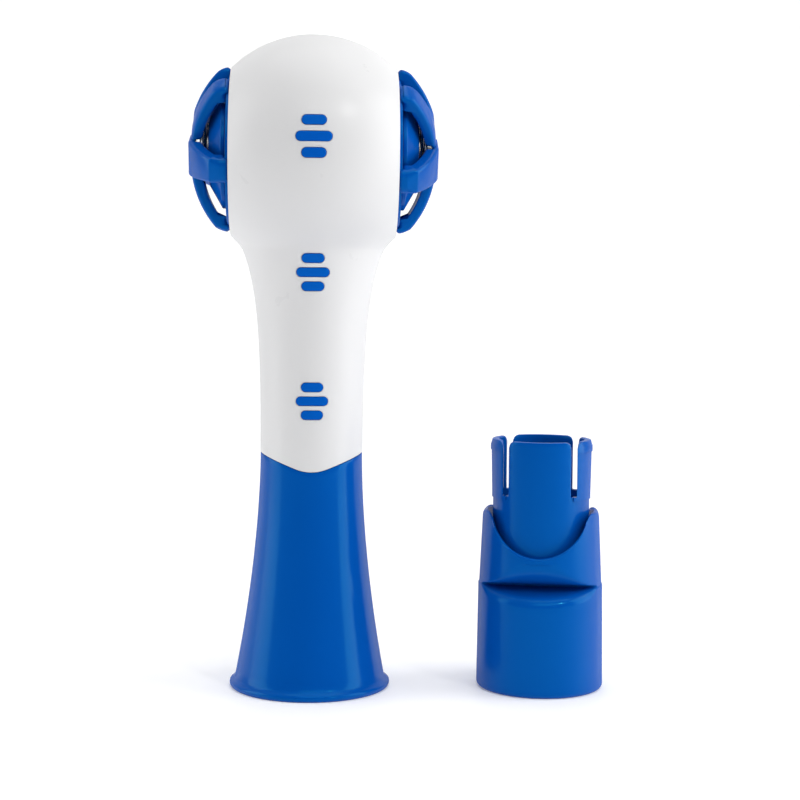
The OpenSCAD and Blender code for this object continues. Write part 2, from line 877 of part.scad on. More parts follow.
module mouth_cup() {
    color(body_blue)
        at_mouthpiece()
            difference() {
                rotate_extrude($fn = round_fn)
                    polygon(concat(
                        [[0, 0]],
                        [for (a = span(0, 90, 5))
                            [cup_foot_r - cup_edge_r + cup_edge_r * sin(a), cup_edge_r * (1 - cos(a))]],
                        [for (a = span(0, shelf_round, 4))
                            [cup_top_r - shelf_edge_r + shelf_edge_r * cos(a),
                             shelf_z - shelf_edge_r + shelf_edge_r * sin(a)]],
                        [[cup_top_r - shelf_edge_r, shelf_z], [0, shelf_z]]));
                shelf_roof();
                translate([0, 0, -overrun])
                    cylinder(h = cup_cavity_h + overrun, r = cup_cavity_r, $fn = round_fn);
                linear_extrude(shelf_z)
                    web_oval(0);
                translate([0, 0, shelf_z - spigot_h - adapter_seal_t])
                    linear_extrude(2 * spigot_h)
                        web_oval(spigot_wall + touch_gap);
            }
}

module adapter_seal() {
    color(silicone_grey)
        at_mouthpiece()
            translate([0, 0, shelf_z - spigot_h - adapter_seal_t])
                linear_extrude(adapter_seal_t)
                    difference() {
                        web_oval(spigot_wall);
                        web_oval(0);
                    }
}

front_shell();
rear_shell();
base_bell();
upper_grip_pads();
middle_grip_pads();
lower_grip_pads();
airway_tube();
mouth_socket();
socket_seal();
left_valve_seat();
right_valve_seat();
left_seat_gasket();
right_seat_gasket();
left_valve_disc();
right_valve_disc();
left_disc_seal();
right_disc_seal();
left_spring();
right_spring();
left_guide_pin();
right_guide_pin();
left_spring_cup();
right_spring_cup();
left_cage();
right_cage();
snap_adapter();
mouth_cup();
adapter_seal();
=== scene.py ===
"""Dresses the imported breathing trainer: smooth mouldings, dial cages, coil springs, grip pads, mouthpiece."""
import math

import bmesh
import bpy
from mathutils import Matrix, Vector


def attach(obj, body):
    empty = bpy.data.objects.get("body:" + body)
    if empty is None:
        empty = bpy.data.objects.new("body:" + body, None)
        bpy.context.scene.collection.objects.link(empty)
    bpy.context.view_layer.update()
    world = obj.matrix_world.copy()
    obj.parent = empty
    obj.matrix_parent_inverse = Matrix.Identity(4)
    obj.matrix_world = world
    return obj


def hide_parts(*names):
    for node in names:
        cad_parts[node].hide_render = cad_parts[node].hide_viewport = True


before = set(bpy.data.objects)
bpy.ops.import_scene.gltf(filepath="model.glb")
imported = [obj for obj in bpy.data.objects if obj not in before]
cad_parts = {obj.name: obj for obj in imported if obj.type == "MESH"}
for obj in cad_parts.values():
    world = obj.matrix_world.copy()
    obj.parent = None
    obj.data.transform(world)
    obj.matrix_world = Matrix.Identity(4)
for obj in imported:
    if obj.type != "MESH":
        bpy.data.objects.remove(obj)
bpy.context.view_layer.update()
MM = 0.001

# Stations of the trainer, in millimetres, as in the part's source
BALL_R = 26.9
BALL_Z = 122.3
FLAT_X = 19.5
SHOULDER_X = 18.8
BOSS_R = 16.8
PORT_R = 12.4
SHELL_WALL = 2.0
NECK_R = 11.65
NECK_FLARE, FLARE_Z, FLARE_RUN = 3.75, 98.0, 11.2
NECK_FOOT_TOP = 62.0
HALF_SEAM = 0.025
BELL_H = 53.8
BELL_FOOT_R = 17.6
BELL_CURVE = 1.78
JOINT_LOW = 50.2
JOINT_R = 10.2
JOINT_SLOPE = math.radians(20)
JOINT_GAP = 0.06
MOUTH_X, MOUTH_Y, MOUTH_TURN = 53.1, -1.3, -10.0
RIGHT_DIAL_SET = 7.0


def lerp(a, b, t):
    return a + (b - a) * t


def ramp(value, start, width):
    """0 up to the start, then evenly up to 1 over the width."""
    return min(1.0, max(0.0, (value - start) / width))


def soft_max(a, b, blend):
    h = max(blend - abs(a - b), 0.0) / blend
    return max(a, b) + h * h * blend / 4


def soft_min(a, b, blend):
    return -soft_max(-a, -b, blend)


def neck_radius(z):
    return NECK_R + NECK_FLARE * math.exp((z - FLARE_Z) / FLARE_RUN)


def body_radius(z, inset=0.0):
    """Outline of the white body: the neck's flare runs into the ball."""
    ball = math.sqrt(max(0.0, (BALL_R - inset) ** 2 - (z - BALL_Z) ** 2))
    return ball if z > 108 else soft_max(neck_radius(z) - inset, ball, 1.4)


def bell_radius(z):
    return NECK_R + (BELL_FOOT_R - NECK_R) * max(0.0, 1 - z / BELL_H) ** BELL_CURVE


def joint_height(x):
    """Height of the dipped joint between bell and neck, seen from the front."""
    x = abs(x)
    tangent = JOINT_R * math.sin(JOINT_SLOPE)
    if x < tangent:
        return JOINT_LOW + JOINT_R - math.sqrt(JOINT_R ** 2 - x * x)
    return JOINT_LOW + JOINT_R * (1 - math.cos(JOINT_SLOPE)) + (x - tangent) * math.tan(JOINT_SLOPE)


# ---------------------------------------------------------------- mesh makers


def polar(r, a, z):
    return (r * math.cos(a), r * math.sin(a), z)


def turns(around):
    """Angles of a full turn, in even steps."""
    return [2 * math.pi * j / around for j in range(around)]


def circle(r, z, around):
    return [polar(r, a, z) for a in turns(around)]


def put_in_scene(name, data):
    piece = bpy.data.objects.new(name, data)
    bpy.context.scene.collection.objects.link(piece)
    return piece


def soften(piece, sharp=32.0):
    """Smooth shading, with edges sharper than the angle kept crisp."""
    bm = bmesh.new()
    bm.from_mesh(piece.data)
    for face in bm.faces:
        face.smooth = True
    for edge in bm.edges:
        angle = edge.calc_face_angle(0.0) if len(edge.link_faces) == 2 else math.pi
        edge.smooth = angle < math.radians(sharp)
    bm.to_mesh(piece.data)
    bm.free()


def make_piece(name, bm, place, sharp):
    """Turns a bmesh in millimetres into an object at its place."""
    bm.transform(Matrix.Scale(MM, 4) @ place)
    bmesh.ops.recalc_face_normals(bm, faces=bm.faces)
    piece = put_in_scene(name, bpy.data.meshes.new(name))
    bm.to_mesh(piece.data)
    bm.free()
    soften(piece, sharp)
    return piece


class Patchwork:
    """Collects grids of points in millimetres and sews them into one mesh."""

    def __init__(self, name):
        self.name = name
        self.points = []
        self.faces = []

    def grid(self, rows, ring=False):
        first = len(self.points)
        width = len(rows[0])
        for row in rows:
            self.points += [tuple(p) for p in row]
        for i in range(len(rows) - 1):
            for j in range(width if ring else width - 1):
                k = (j + 1) % width
                a, b = first + i * width, first + (i + 1) * width
                self.faces.append((a + j, a + k, b + k, b + j))

    def cap(self, row):
        first = len(self.points)
        self.points += [tuple(p) for p in row]
        self.faces.append(tuple(range(first, first + len(row))))

    def stitched(self, gap):
        """The grids as one bmesh, with points nearer than the gap merged."""
        mesh = bpy.data.meshes.new(self.name)
        mesh.from_pydata(self.points, [], self.faces)
        bm = bmesh.new()
        bm.from_mesh(mesh)
        bpy.data.meshes.remove(mesh)
        bmesh.ops.remove_doubles(bm, verts=bm.verts, dist=gap)
        return bm

    def sew(self, place=Matrix.Identity(4), gap=0.004, sharp=32.0):
        bm = self.stitched(gap)
        bmesh.ops.dissolve_degenerate(bm, edges=bm.edges, dist=gap / 4)
        bmesh.ops.triangulate(bm, faces=[f for f in bm.faces if len(f.verts) > 4])
        return make_piece(self.name, bm, place, sharp)


def settle(piece):
    """Turns a piece's modifiers into plain mesh."""
    graph = bpy.context.evaluated_depsgraph_get()
    mesh = bpy.data.meshes.new_from_object(piece.evaluated_get(graph))
    piece.modifiers.clear()
    piece.data = mesh
    soften(piece)
    return piece


def round_edges(piece, width):
    bevel = piece.modifiers.new("moulded edge", "BEVEL")
    bevel.width = width * MM
    bevel.segments = 3
    bevel.limit_method = "ANGLE"
    bevel.angle_limit = math.radians(60)
    bevel.use_clamp_overlap = True
    return settle(piece)


def combine(piece, tool, operation, solver="EXACT"):
    cut = piece.modifiers.new("cut", "BOOLEAN")
    cut.operation = operation
    cut.solver = solver
    cut.object = tool
    bpy.context.view_layer.update()
    settle(piece)
    bpy.data.objects.remove(tool)
    return piece


def turned(name, outline, place, around, sharp=32.0):
    """Solid turned about the local Z axis from a closed outline of (radius, height)."""
    work = Patchwork(name)
    work.grid([circle(r, z, around) for r, z in outline + outline[:1]], ring=True)
    return work.sew(place, sharp=sharp)


def rounded(outline, radii):
    """Outline with each corner rounded by its own radius."""
    steps, out = 4, []
    count = len(outline)
    for i, (point, r) in enumerate(zip(outline, radii)):
        here = Vector(point)
        back = Vector(outline[i - 1]) - here
        ahead = Vector(outline[(i + 1) % count]) - here
        if r <= 0:
            out.append(tuple(here))
            continue
        reach = min(r / math.tan(back.angle(ahead) / 2), back.length * 0.48, ahead.length * 0.48)
        start, end = here + back.normalized() * reach, here + ahead.normalized() * reach
        out += [tuple(start.lerp(here, k / steps).lerp(here.lerp(end, k / steps), k / steps))
                for k in range(steps + 1)]
    return out


def on_valve(side, turn=0.0):
    """Local +Z points out of the valve and local +X points down."""
    place = (Matrix.Translation((0, 0, BALL_Z)) @ Matrix.Rotation(math.radians(90), 4, "Y")
             @ Matrix.Rotation(math.radians(turn), 4, "Z"))
    return place if side == "right" else Matrix.Diagonal((-1, 1, 1, 1)) @ place


# ---------------------------------------------------------------- white shells


def skin_of_body(inset, plane, profile):
    """Outer or inner skin of head and neck, cut flat on both sides; profile goes in to the port."""
    around, ball = 160, BALL_R - inset
    neck_steps, ball_steps = 26, 72
    neck_top, ball_low, crown = 100.0, 100.6, math.radians(89.4)
    rows = []
    for t in (0, 0.012, 0.15, 0.3, 0.5, 0.75, 1):
        row = []
        for a in turns(around):
            low = joint_height((NECK_R - inset) * math.cos(a)) + JOINT_GAP
            z = lerp(low, NECK_FOOT_TOP, t)
            row.append(polar(body_radius(z, inset) - (0.1 if t == 0 else 0.0), a, z))
        rows.append(row)
    heights = [NECK_FOOT_TOP + (neck_top - NECK_FOOT_TOP) * i / neck_steps for i in range(1, neck_steps + 1)]
    low = math.asin((ball_low - BALL_Z) / ball)
    heights += [BALL_Z + ball * math.sin(lerp(low, crown, i / ball_steps)) for i in range(ball_steps + 1)]
    rows += [circle(body_radius(z, inset), z, around) for z in heights]
    work = Patchwork("skin")
    work.grid(rows, ring=True)
    work.cap(rows[-1])
    bm = work.stitched(0.01)
    for side in (-1, 1):
        bmesh.ops.bisect_plane(bm, geom=bm.verts[:] + bm.edges[:] + bm.faces[:],
                               plane_co=(side * plane, 0, 0), plane_no=(side, 0, 0), clear_outer=True)
    for side in (-1, 1):
        rim = [v for v in bm.verts if abs(v.co.x - side * plane) < 1e-4]
        bmesh.ops.remove_doubles(bm, verts=rim, dist=0.08)
        rim = [v for v in bm.verts if abs(v.co.x - side * plane) < 1e-4]
        rim.sort(key=lambda v: math.atan2(v.co.z - BALL_Z, v.co.y))
        last = rim
        for r, x in profile:
            ring = []
            for v in rim:
                a = math.atan2(v.co.z - BALL_Z, v.co.y)
                ring.append(bm.verts.new((side * x, r * math.cos(a), BALL_Z + r * math.sin(a))))
            for i in range(len(rim)):
                k = (i + 1) % len(rim)
                bm.faces.new((last[i], last[k], ring[k], ring[i]))
            last = ring
    return bm


def white_shells():
    """Front and rear half of the head and neck, parted on a hairline seam."""
    flat = [(19.34, 18.72), (19.2, 18.785), (19.0, SHOULDER_X), (16.62, SHOULDER_X)]
    boss = [(16.5, 18.86), (16.5, 19.3), (16.55, 19.35), (16.74, 19.35), (BOSS_R, 19.38), (BOSS_R, 19.44)]
    port = [(16.72, FLAT_X), (12.55, FLAT_X), (PORT_R, 19.35)]
    bm = skin_of_body(0.0, 18.62, flat + boss + port)
    inner = skin_of_body(SHELL_WALL, 17.4, [(17.5, 17.45), (PORT_R, 17.45)])
    mesh = bpy.data.meshes.new("inner")
    inner.to_mesh(mesh)
    inner.free()
    bm.from_mesh(mesh)
    for test in (lambda c: c.x < -15, lambda c: c.x > 15, lambda c: c.z < 70):
        edges = [e for e in bm.edges if len(e.link_faces) == 1 and all(test(v.co) for v in e.verts)]
        bmesh.ops.bridge_loops(bm, edges=edges)
    bmesh.ops.recalc_face_normals(bm, faces=bm.faces)
    shells = []
    for name, half in (("front_head_shell", -1), ("rear_head_shell", 1)):
        part = bm.copy()
        bmesh.ops.bisect_plane(part, geom=part.verts[:] + part.edges[:] + part.faces[:],
                               plane_co=(0, half * HALF_SEAM, 0), plane_no=(0, -half, 0), clear_outer=True)
        bmesh.ops.holes_fill(part, edges=[e for e in part.edges if len(e.link_faces) == 1])
        bmesh.ops.triangulate(part, faces=[f for f in part.faces if len(f.verts) > 4])
        shells.append(make_piece(name, part, Matrix.Identity(4), 34))
    bm.free()
    return shells


# ---------------------------------------------------------------- blue bell


def bell():
    """Thin flared bell: up its inside, round the rolled rim and up its outside to the joint."""
    around, wall, start = 160, 1.4, 2.4
    roll_r, roll_z, roll = 17.4, 0.9, 0.97
    work = Patchwork("flared_bell")

    def climb(inset, t):
        row = []
        for a in turns(around):
            z = lerp(start, joint_height((NECK_R - inset) * math.cos(a)) - JOINT_GAP, t)
            row.append(polar(bell_radius(z) - inset, a, z))
        return row

    rows = [climb(wall, 1 - i / 28) for i in range(29)]
    for i in range(19):
        a = math.radians(lerp(150, 386, i / 18))
        rows.append(circle(roll_r + roll * math.cos(a), max(0.0, roll_z + roll * math.sin(a)), around))
    rows += [circle(17.86, 1.62, around), circle(17.47, 1.98, around), circle(17.29, 2.2, around)]
    rows += [climb(0.0, (i / 44) ** 0.92) for i in range(44)]
    rows += [climb(0.0, 0.9975), climb(0.05, 0.9995), climb(0.12, 1.0), rows[0]]
    work.grid(rows, ring=True)
    return work.sew(sharp=40)


# ---------------------------------------------------------------- node trees


def node_tree(name, sizes):
    tree = bpy.data.node_groups.new(name, "GeometryNodeTree")
    tree.interface.new_socket("Geometry", in_out="OUTPUT", socket_type="NodeSocketGeometry")
    for label, kind, value in sizes:
        socket = tree.interface.new_socket(label, in_out="INPUT", socket_type=kind)
        if value is not None:
            socket.default_value = value
    return tree


class Wires:
    """Short way to add nodes to a tree and join them."""

    def __init__(self, tree):
        self.tree = tree

    def add(self, kind, label="", inputs=None, **settings):
        node = self.tree.nodes.new(kind)
        node.label = label
        for key, value in settings.items():
            setattr(node, key, value)
        for socket, content in (inputs or {}).items():
            self.feed(node.inputs[socket], content)
        return node

    def feed(self, socket, content):
        if isinstance(content, bpy.types.NodeSocket):
            self.tree.links.new(content, socket)
        elif isinstance(content, bpy.types.Node):
            self.tree.links.new(content.outputs[0], socket)
        else:
            socket.default_value = content

    def close(self, geometry, finish):
        real = self.add("GeometryNodeRealizeInstances", inputs={"Geometry": geometry})
        paint = self.add("GeometryNodeSetMaterial", inputs={"Geometry": real, "Material": finish})
        self.add("NodeGroupOutput", inputs={"Geometry": paint})


def grow(tree, name, finish, **values):
    """Runs a Geometry Nodes tree and keeps its result as a plain mesh."""
    piece = put_in_scene(name, bpy.data.meshes.new(name))
    work = piece.modifiers.new("make", "NODES")
    work.node_group = tree
    labels = {s.name: s.identifier for s in tree.interface.items_tree
              if s.item_type == "SOCKET" and s.in_out == "INPUT"}
    for label, value in values.items():
        work[labels[label.replace("_", " ")]] = value
    work[labels["finish"]] = finish
    bpy.context.view_layer.update()
    return settle(piece)


def coil_tree():
    """A drawn wire wound into a short coil."""
    tree = node_tree("wound_coil", [
        ("turns", "NodeSocketFloat", 2.75), ("coil radius", "NodeSocketFloat", 0.0064),
        ("wire radius", "NodeSocketFloat", 0.00032), ("length", "NodeSocketFloat", 0.004),
        ("steps", "NodeSocketInt", 48), ("finish", "NodeSocketMaterial", None)])
    w = Wires(tree)
    given = w.add("NodeGroupInput").outputs
    coil = w.add("GeometryNodeCurveSpiral", "coil", {
        "Resolution": given["steps"], "Rotations": given["turns"], "Start Radius": given["coil radius"],
        "End Radius": given["coil radius"], "Height": given["length"]})
    section = w.add("GeometryNodeCurvePrimitiveCircle", "wire section", {
        "Resolution": 14, "Radius": given["wire radius"]})
    wire = w.add("GeometryNodeCurveToMesh", "drawn wire", {
        "Curve": coil, "Profile Curve": section, "Fill Caps": True})
    w.close(wire, given["finish"])
    return tree


def pad_tree():
    """A column of three flat pads with round ends: short, long, short."""
    tree = node_tree("pad_column", [
        ("long", "NodeSocketFloat", 0.0079), ("short", "NodeSocketFloat", 0.0053),
        ("tall", "NodeSocketFloat", 0.0021), ("pitch", "NodeSocketFloat", 0.0035),
        ("thick", "NodeSocketFloat", 0.0009), ("finish", "NodeSocketMaterial", None)])
    w = Wires(tree)
    given = w.add("NodeGroupInput").outputs
    step = w.add("ShaderNodeCombineXYZ", "up", {1: given["pitch"]})
    column = w.add("GeometryNodeMeshLine", "column", {"Count": 3, "Offset": step.outputs[0]})
    index = w.add("GeometryNodeInputIndex")
    middle = w.add("FunctionNodeCompare", "middle row", data_type="INT", operation="EQUAL")
    w.feed(middle.inputs[2], index.outputs[0])
    middle.inputs[3].default_value = 1
    ends = w.add("FunctionNodeBooleanMath", "end rows", operation="NOT")
    w.feed(ends.inputs[0], middle.outputs[0])
    radius = w.add("ShaderNodeMath", "round end", {0: given["tall"], 1: 0.4998}, operation="MULTIPLY")
    both = w.add("GeometryNodeJoinGeometry")
    for size, rows in (("short", ends), ("long", middle)):
        box = w.add("GeometryNodeCurvePrimitiveQuadrilateral", size, {
            "Width": given[size], "Height": given["tall"]})
        ends_round = w.add("GeometryNodeFilletCurve", "", {
            "Curve": box, "Radius": radius, "Count": 9}, mode="POLY")
        face = w.add("GeometryNodeFillCurve", "", {"Curve": ends_round}, mode="NGONS")
        body = w.add("GeometryNodeExtrudeMesh", "", {
            "Mesh": face, "Offset Scale": given["thick"], "Individual": False})
        back = w.add("GeometryNodeFlipFaces", "", {"Mesh": face})
        pad = w.add("GeometryNodeJoinGeometry")
        w.feed(pad.inputs[0], body.outputs["Mesh"])
        w.feed(pad.inputs[0], back.outputs[0])
        placed = w.add("GeometryNodeInstanceOnPoints", size + " pads", {
            "Points": column, "Instance": pad, "Selection": rows})
        w.feed(both.inputs[0], placed.outputs[0])
    w.close(both, given["finish"])
    return tree


# ---------------------------------------------------------------- grip pads


def pad_group(name, tree, finish, group, spare, low, high, edge):
    """Three pads (or, with spare, their pockets' cutter) laid on the body's curve, from low to high."""
    z_mid, long, short, tall, pitch = group
    piece = grow(tree, name, finish, long=(long + 2 * spare) * MM, short=(short + 2 * spare) * MM,
                 tall=(tall + 2 * spare) * MM, pitch=pitch * MM, thick=(high - low) * MM)
    bm = bmesh.new()
    bm.from_mesh(piece.data)
    bmesh.ops.remove_doubles(bm, verts=bm.verts, dist=1e-6)
    bmesh.ops.recalc_face_normals(bm, faces=bm.faces)
    for inset in (0.3, 0.35):
        for side in (-1, 1):
            lids = [f for f in bm.faces if f.normal.z * side > 0.9 and len(f.verts) > 8]
            bmesh.ops.inset_individual(bm, faces=lids, thickness=inset * MM)
    bmesh.ops.triangulate(bm, faces=[f for f in bm.faces if len(f.verts) > 4])
    bm.to_mesh(piece.data)
    bm.free()
    if edge:
        round_edges(piece, edge)
    for v in piece.data.vertices:
        x, z, out = v.co.x / MM, z_mid + v.co.y / MM - pitch, v.co.z / MM + low
        v.co = Vector((x, -(math.sqrt(body_radius(z) ** 2 - x * x) + out), z)) * MM
    bm = bmesh.new()
    bm.from_mesh(piece.data)
    bmesh.ops.recalc_face_normals(bm, faces=bm.faces)
    bm.to_mesh(piece.data)
    bm.free()
    soften(piece, 38)
    return piece


# ---------------------------------------------------------------- valves and dials


def cone_disc(side):
    outline = [(1.56, 19.0), (3.0, 19.0), (3.0, 20.45), (9.4, 20.45), (9.7, 19.85), (12.95, 19.85),
               (12.95, 20.7), (7.9, 23.6), (7.2, 23.6), (7.2, 21.6), (5.4, 21.6), (5.4, 24.4), (1.56, 24.4)]
    radii = [0, 0.1, 0.2, 0.2, 0.1, 0.12, 0.35, 0.3, 0.15, 0.2, 0.2, 0.35, 0.15]
    return turned(side + "_cone_disc", rounded(outline, radii), on_valve(side), 160, 40)


def boss_shade_ring(side):
    """Thin blue step round the boss, which stands in for the shadowed gap between the disc and the white head:
    painted shade, in the blue of the discs.
    """
    outline = [(16.3, 18.83), (16.87, 18.83), (16.87, 19.54), (12.7, 19.54), (12.7, 19.42), (16.3, 19.42)]
    return turned(side + "_boss_shade_ring", rounded(outline, [0, 0.05, 0.12, 0.04, 0, 0]), on_valve(side), 160, 40)


def pressed_cup(side):
    outline = [(1.56, 26.3), (6.845, 26.3), (6.845, 25.6), (7.145, 25.6), (7.145, 26.65), (1.56, 26.65)]
    radii = [0.03, 0.1, 0.08, 0.08, 0.3, 0.03]
    return turned(side + "_pressed_cup", rounded(outline, radii), on_valve(side), 128, 40)


ARCH_CENTER = (2.0, 4.7)
ARCH_R = 23.3
ARM_T = 2.3
ARM = (4.1, 2.6, 18.2)  # half width at the hub, half width at the foot, reach
INDEX_ARM = (2.4, 1.9, 19.2)
INDEX_ANGLE = 180
POINTER_ANGLE = -72
HUB_R = 6.8
HUB_FACE = 27.65
HUB_UNDER = 26.7
HUB_POCKET = 7.395
TOE = 0.9
TOE_TOP, FOOT_STEP, FOOT_LOW = 20.65, 19.65, 18.95


def arch(r, rise):
    """Height of the domed face that the arms follow."""
    return ARCH_CENTER[1] + math.sqrt(max(0.0, (ARCH_R + rise) ** 2 - (r - ARCH_CENTER[0]) ** 2))


def arm_field(x, y, angle, root_w, foot_w, reach):
    """How far outside an arm's plan a point lies; the arm points along the angle."""
    c, s = math.cos(math.radians(angle)), math.sin(math.radians(angle))
    u, v = x * c + y * s, -x * s + y * c
    half = lerp(root_w, foot_w, ramp(u, HUB_R, reach - HUB_R))
    return soft_max(soft_max((abs(v) - half) * 0.99, math.hypot(u, v) - reach, 1.1), -u, 0.1)


def star_field(x, y):
    """Plan of the dial: four plain arms, the slim index arm and the hub, with filleted corners."""
    field = math.hypot(x, y) - HUB_R
    for angle in (0, 72, 144, 216):
        field = soft_min(field, arm_field(x, y, angle, *ARM), 1.3)
    return soft_min(field, arm_field(x, y, INDEX_ANGLE, *INDEX_ARM), 1.1)


def edge_of_star(angle, level):
    """Radius at which a ray from the hub leaves the star, less a margin."""
    c, s = math.cos(angle), math.sin(angle)

    def inside(r):
        return star_field(r * c, r * s) < -level

    low = high = 4.0
    while high < 19.6 and inside(high):
        low = high
        high += 0.25
    for _ in range(22):
        mid = (low + high) / 2
        if inside(mid):
            low = mid
        else:
            high = mid
    return (low + high) / 2


def dial_star(name):
    """Hub and arms in one moulding, laid over the arch, with rounded edges."""
    rays, count = 1500, 520
    fine = [2 * math.pi * i / rays for i in range(rays + 1)]
    radii = [edge_of_star(a, 0.0) for a in fine[:-1]]
    radii.append(radii[0])
    length = [0.0]
    for i in range(rays):
        a, b = fine[i], fine[i + 1]
        length.append(length[-1] + math.hypot(radii[i + 1] * math.cos(b) - radii[i] * math.cos(a),
                                              radii[i + 1] * math.sin(b) - radii[i] * math.sin(a)))
    angles, i = [], 0
    for k in range(count):
        goal = length[-1] * k / count
        while length[i + 1] < goal:
            i += 1
        angles.append(lerp(fine[i], fine[i + 1], (goal - length[i]) / max(1e-9, length[i + 1] - length[i])))
    edge_out, edge_in, edge_foot = 0.8, 0.4, 0.95

    def top(r, angle):
        turn = abs(math.remainder(angle - math.radians(INDEX_ANGLE), 2 * math.pi))
        rise = 0.4 * (1 - ramp(turn, 0.22, 0.12)) * ramp(r, 7.0, 2.5)
        reach = INDEX_ARM[2] if turn < 0.3 else ARM[2]
        if r > reach - TOE:
            return lerp(arch(reach - TOE, rise), TOE_TOP, (r - reach + TOE) / TOE)
        return soft_min(HUB_FACE, arch(r, rise), 0.12)

    def under(r):
        if r < HUB_POCKET:
            return HUB_UNDER
        if r < 15.0:
            return arch(r, -ARM_T)
        return FOOT_STEP if r < 16.93 else FOOT_LOW

    levels = [0.0, 0.06, 0.16, 0.3, 0.48, 0.8]
    rims = [[edge_of_star(a, level) for a in angles] for level in levels]
    rows = []

    def row(radii_here, height, drop):
        rows.append([polar(r, a, height(r, a) + drop) for r, a in zip(radii_here, angles)])

    def fall(level, edge):
        return edge - math.sqrt(max(0.0, edge * edge - (edge - min(level, edge)) ** 2))

    inner = rims[-1]
    for i in range(24):
        t = (i / 24) ** 0.8
        row([lerp(0.02, r, t) for r in inner], top, 0.0)
    for level, rim in list(zip(levels, rims))[::-1]:
        row(rim, top, -fall(level, edge_out))
    row(rims[0], lambda r, a: lerp(top(r, a) - edge_out, under(r) + edge_in, 0.5), 0.0)
    for level, rim in zip(levels, rims):
        row(rim, lambda r, a: under(r) + fall(level, edge_foot if r > 15.6 else edge_in), 0.0)
    stops = [16.94, 16.92, 15.01, 14.99, 14.0, 12.5, 11.0, 9.5, 8.3, 7.41, 7.38, 5.0, 2.5, 0.02]
    for stop in stops:
        row([min(r, stop) for r in inner], lambda r, a: under(r), 0.0)
    work = Patchwork(name)
    work.grid(rows, ring=True)
    work.cap(rows[0])
    work.cap(rows[-1])
    return work


def pointer_arm():
    """The thicker pointer: one arched arm with rounded edges and a hooked foot."""
    rise, face_x, edge = 0.55, 28.2, 0.7
    root_w, foot_w, reach = ARM
    low, bend, shank, heel = HUB_UNDER + 0.04, 7.4, 14.0, 15.0
    flat_to = ARCH_CENTER[0] + math.sqrt((ARCH_R + rise) ** 2 - (face_x - ARCH_CENTER[1]) ** 2)

    def top(r):
        return face_x if r < flat_to else arch(r, rise)

    def under(r):
        return low if r < bend else arch(r, -ARM_T)

    end = reach - 1.3
    outline = rounded([(0.0, low), (0.0, face_x), (2.0, face_x)], [0, 0.45, 0])[1:-1]
    outline = [(0.0, low)] + outline
    outline += [(r, top(r)) for r in [lerp(1.0, end, i / 34) for i in range(35)]]
    foot = [(end, top(end)), (reach - TOE, top(reach - TOE)), (reach, TOE_TOP), (reach, FOOT_LOW),
            (16.65, FOOT_LOW), (16.65, 19.2), (16.95, 19.2), (16.95, FOOT_STEP), (heel, FOOT_STEP),
            (heel, under(heel)), (shank, under(shank))]
    outline += rounded(foot, [0, 0.9, 1.0, 0.8, 0.1, 0.05, 0.05, 0.1, 0.1, 0.1, 0])[1:-1]
    outline += [(r, under(r)) for r in [lerp(shank, bend, i / 12) for i in range(13)]]
    outline += [(7.38, low), (4.0, low)]
    spine = []
    for r, x in outline:
        at = min(max(r, 0.6), 17.2)
        spine.append((at, (top(at) + under(at)) / 2 if at < 15.9 else 20.4))
    c, s = math.cos(math.radians(POINTER_ANGLE)), math.sin(math.radians(POINTER_ANGLE))
    rows = []
    steps = [0, 18, 36, 54, 72, 90]
    for side, series in ((-1, steps), (0, [0]), (1, steps[::-1])):
        for t in series:
            drop, bite = edge * (1 - math.cos(math.radians(t))), edge * (1 - math.sin(math.radians(t)))
            if side == 0:
                drop = bite = 0.0
            row = []
            for (r, x), (cr, cx) in zip(outline, spine):
                size = max(1e-6, math.hypot(r - cr, x - cx))
                pull = min(bite, size * 0.55) / size
                r2, x2 = r - (r - cr) * pull, x - (x - cx) * pull
                half = lerp(root_w, foot_w, ramp(r2, HUB_R, reach - HUB_R))
                near_end = max(0.0, r2 - reach + 1.3)
                half -= 1.3 - math.sqrt(1.7 - min(near_end, 1.3) ** 2)
                v = side * (half - drop)
                u = lerp(r2, math.sqrt(max(0.1, r2 * r2 - v * v)), ramp(r2, 6.0, 6.0))
                row.append((u * c - v * s, u * s + v * c, x2))
            rows.append(row)
    work = Patchwork("pointer")
    work.grid([row + row[:1] for row in rows])
    work.cap(rows[0])
    work.cap(rows[-1])
    return work


def dial_cage(side):
    """One cage: the star, the pointer on top of it, and the pointer's dimple."""
    place = on_valve(side, RIGHT_DIAL_SET if side == "right" else 0.0)
    cage = dial_star(side + "_dial_cage").sew(place, sharp=36)
    combine(cage, pointer_arm().sew(place), "UNION", "MANIFOLD")
    along_pointer = Matrix.Rotation(math.radians(POINTER_ANGLE), 4, "Z") @ Matrix.Translation((3.2, 0, 0))
    dimple = [(0.01, 27.75), (0.3, 27.75), (0.45, 27.9), (0.45, 29.0), (0.01, 29.0)]
    punch = turned("dimple", dimple, place @ along_pointer, 32)
    return combine(cage, punch, "DIFFERENCE", "MANIFOLD")


# ---------------------------------------------------------------- mouthpiece

PASSAGE_HALF, PASSAGE_FLAT = 4.0, 5.5
SHELF_Z, SHELF_Y, SHELF_SLOPE = 24.0, 5.5, math.radians(12)
SHELF_R, CUP_R, CAVITY_R = 14.3, 14.56, 11.4
COLLAR_FOOT_R, COLLAR_TOP_R, COLLAR_BORE = 14.1, 13.4, 12.1
SCOOP_Z, SCOOP_R = 42.15, 10.95
HORN_X, HORN_Z, HORN_ROUND = 12.15, 39.55, 1.25


def at_mouthpiece():
    return Matrix.Translation((MOUTH_X, MOUTH_Y, 0)) @ Matrix.Rotation(math.radians(MOUTH_TURN), 4, "Z")


